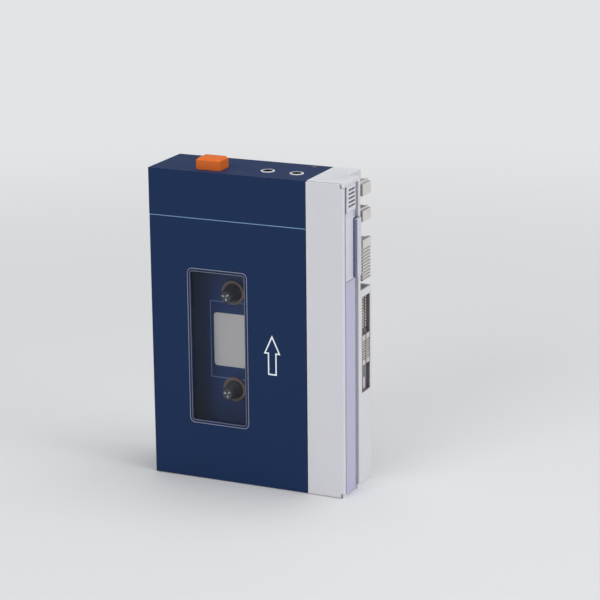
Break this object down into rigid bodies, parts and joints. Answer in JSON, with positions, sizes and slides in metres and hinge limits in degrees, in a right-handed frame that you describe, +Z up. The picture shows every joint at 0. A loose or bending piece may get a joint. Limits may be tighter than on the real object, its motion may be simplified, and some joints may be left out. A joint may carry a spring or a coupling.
{
  "type": "cassette player",
  "caption": "Pocket cassette player with a side-hinged windowed lid, a side column of push keys, volume sliders and a top push button.",
  "frame": {"origin": "middle of the case's lower end face, on the plane it stands on", "axes": "+X right across the front, +Y from the front to the back, +Z up along the case"},
  "size_m": [0.089, 0.029, 0.1383],
  "materials": {
    "blue_plastic": "fine-grained moulded ABS, satin",
    "board_green": "epoxy circuit board",
    "brass": "turned brass",
    "brown_plastic": "brown-black moulded plastic",
    "cell_jacket": "plain printed cell jacket",
    "clear_acrylic": "clear moulded acrylic",
    "dark_plastic": "black acetal",
    "deck_paint": "blue stoved paint on pressed steel",
    "key_plastic": "ivory-white moulded keys",
    "lavender_inset": "painted inset strip, satin",
    "orange_plastic": "moulded acetal, semi-gloss",
    "pale_label": "pale grey satin plate",
    "rubber": "black rubber",
    "steel": "bright steel",
    "white_plastic": "smooth moulded ABS, satin"
  },
  "bodies": {
    "case": {"battery_cells": "cell_jacket", "battery_contacts": "steel", "battery_spring": "steel", "board_components": "dark_plastic", "capstan_bearing": "brass", "case_screws": "steel", "cassette_guides": "dark_plastic", "circuit_board": "board_green", "control_housing": "white_plastic", "cover_hinge_pins": "steel", "deck_label_plate": "pale_label", "deck_plate": "deck_paint", "deck_screws": "steel", "drive_belt": "rubber", "flywheel_bridge": "steel", "forward_key_spring": "steel", "head_guide_pins": "steel", "headphone_jack_left": "dark_plastic", "headphone_jack_right": "dark_plastic", "hotline_spring": "steel", "hotline_switch": "dark_plastic", "jack_rings": "white_plastic", "lamp_lens": "clear_acrylic", "lid_hinge_pins": "steel", "mechanism_posts": "steel", "mic_capsule": "dark_plastic", "mic_grille": "white_plastic", "motor": "steel", "play_key_spring": "steel", "rear_case": "blue_plastic", "reel_bushes": "brass", "rewind_key_spring": "steel", "side_strip": "lavender_inset", "top_cover": "blue_plastic", "volume_resistors": "dark_plastic", "volume_scale": "pale_label"},
    "lid": {"lid": "blue_plastic", "window_rim": "blue_plastic", "window_pane": "clear_acrylic", "cassette_springs": "steel"},
    "battery_cover": {"battery_cover": "white_plastic"},
    "hotline_button": {"hotline_button": "orange_plastic"},
    "rewind_key": {"rewind_key": "key_plastic"},
    "forward_key": {"forward_key": "key_plastic"},
    "play_key": {"play_key": "key_plastic"},
    "stop_bar": {"stop_bar": "white_plastic"},
    "head_base": {"head_base": "steel", "tape_head": "steel"},
    "pinch_arm": {"pinch_arm": "steel"},
    "pinch_roller": {"pinch_roller": "rubber"},
    "flywheel": {"flywheel": "brass", "capstan_shaft": "steel"},
    "motor_pulley": {"motor_pulley": "brass"},
    "idler_wheel": {"idler_wheel": "rubber"},
    "take_up_reel": {"take_up_spindle": "dark_plastic", "take_up_table": "brown_plastic"},
    "supply_reel": {"supply_spindle": "dark_plastic", "supply_table": "brown_plastic"},
    "volume_slider_front": {"volume_slider_front": "key_plastic"},
    "volume_slider_back": {"volume_slider_back": "key_plastic"}
  },
  "joints": [
    {"name": "lid_hinge", "type": "hinge", "parent": "case", "child": "lid", "pos_m": [-0.0428, -0.0083, 0.057], "axis": [0, 0, -1], "range_deg": [0, 90]},
    {"name": "battery_cover_hinge", "type": "hinge", "parent": "case", "child": "battery_cover", "pos_m": [0.0434, -0.0139, 0.06675], "axis": [0, 0, 1], "range_deg": [0, 100]},
    {"name": "hotline_slide", "type": "slide", "parent": "case", "child": "hotline_button", "axis": [0, 0, -1], "range_m": [0, 0.0015], "stiffness_N_per_m": 400, "springref_m": -0.001, "deforming": ["hotline_spring"]},
    {"name": "rewind_slide", "type": "slide", "parent": "case", "child": "rewind_key", "axis": [-1, 0, 0], "range_m": [0, 0.0028], "stiffness_N_per_m": 400, "springref_m": -0.001, "deforming": ["rewind_key_spring"]},
    {"name": "forward_slide", "type": "slide", "parent": "case", "child": "forward_key", "axis": [-1, 0, 0], "range_m": [0, 0.0028], "stiffness_N_per_m": 400, "springref_m": -0.001, "deforming": ["forward_key_spring"]},
    {"name": "play_slide", "type": "slide", "parent": "case", "child": "play_key", "axis": [-1, 0, 0], "range_m": [0, 0.0028], "stiffness_N_per_m": 600, "springref_m": -0.001, "deforming": ["play_key_spring"]},
    {"name": "stop_slide", "type": "slide", "parent": "case", "child": "stop_bar", "axis": [-1, 0, 0], "range_m": [0, 0.0012], "stiffness_N_per_m": 400, "springref_m": -0.001},
    {"name": "head_slide", "type": "slide", "parent": "case", "child": "head_base", "axis": [-1, 0, 0], "range_m": [0, 0.0028]},
    {"name": "pinch_arm_hinge", "type": "hinge", "parent": "case", "child": "pinch_arm", "pos_m": [0.024, 0.0007, 0.105], "axis": [0, 1, 0], "range_deg": [0, 43.97]},
    {"name": "pinch_roller_spin", "type": "hinge", "parent": "pinch_arm", "child": "pinch_roller", "pos_m": [0.0253, -0.0072, 0.092], "axis": [0, 1, 0], "continuous": true},
    {"name": "flywheel_spin", "type": "hinge", "parent": "case", "child": "flywheel", "pos_m": [0.0135, 0, 0.092], "axis": [0, 1, 0], "continuous": true},
    {"name": "motor_spin", "type": "hinge", "parent": "case", "child": "motor_pulley", "pos_m": [-0.027, 0.007, 0.099], "axis": [0, 1, 0], "continuous": true},
    {"name": "idler_spin", "type": "hinge", "parent": "case", "child": "idler_wheel", "pos_m": [0.00255, 0.0025, 0.0867], "axis": [0, 1, 0], "continuous": true},
    {"name": "take_up_spin", "type": "hinge", "parent": "case", "child": "take_up_reel", "pos_m": [-0.012, 0, 0.07965], "axis": [0, 1, 0], "continuous": true},
    {"name": "supply_spin", "type": "hinge", "parent": "case", "child": "supply_reel", "pos_m": [-0.012, 0, 0.03715], "axis": [0, 1, 0], "continuous": true},
    {"name": "volume_front_slide", "type": "slide", "parent": "case", "child": "volume_slider_front", "axis": [0, 0, 1], "range_m": [-0.0115, 0.014]},
    {"name": "volume_back_slide", "type": "slide", "parent": "case", "child": "volume_slider_back", "axis": [0, 0, 1], "range_m": [-0.0115, 0.014]}
  ],
  "couplings": [
    {"joint": "head_slide", "follows": "play_slide", "ratio": 1},
    {"joint": "pinch_arm_hinge", "follows": "play_slide", "rad_per_m": 274.08},
    {"joint": "motor_spin", "follows": "flywheel_spin", "ratio": 5.75},
    {"joint": "idler_spin", "follows": "flywheel_spin", "ratio": -0.49896},
    {"joint": "take_up_spin", "follows": "flywheel_spin", "ratio": 0.5}
  ]
}
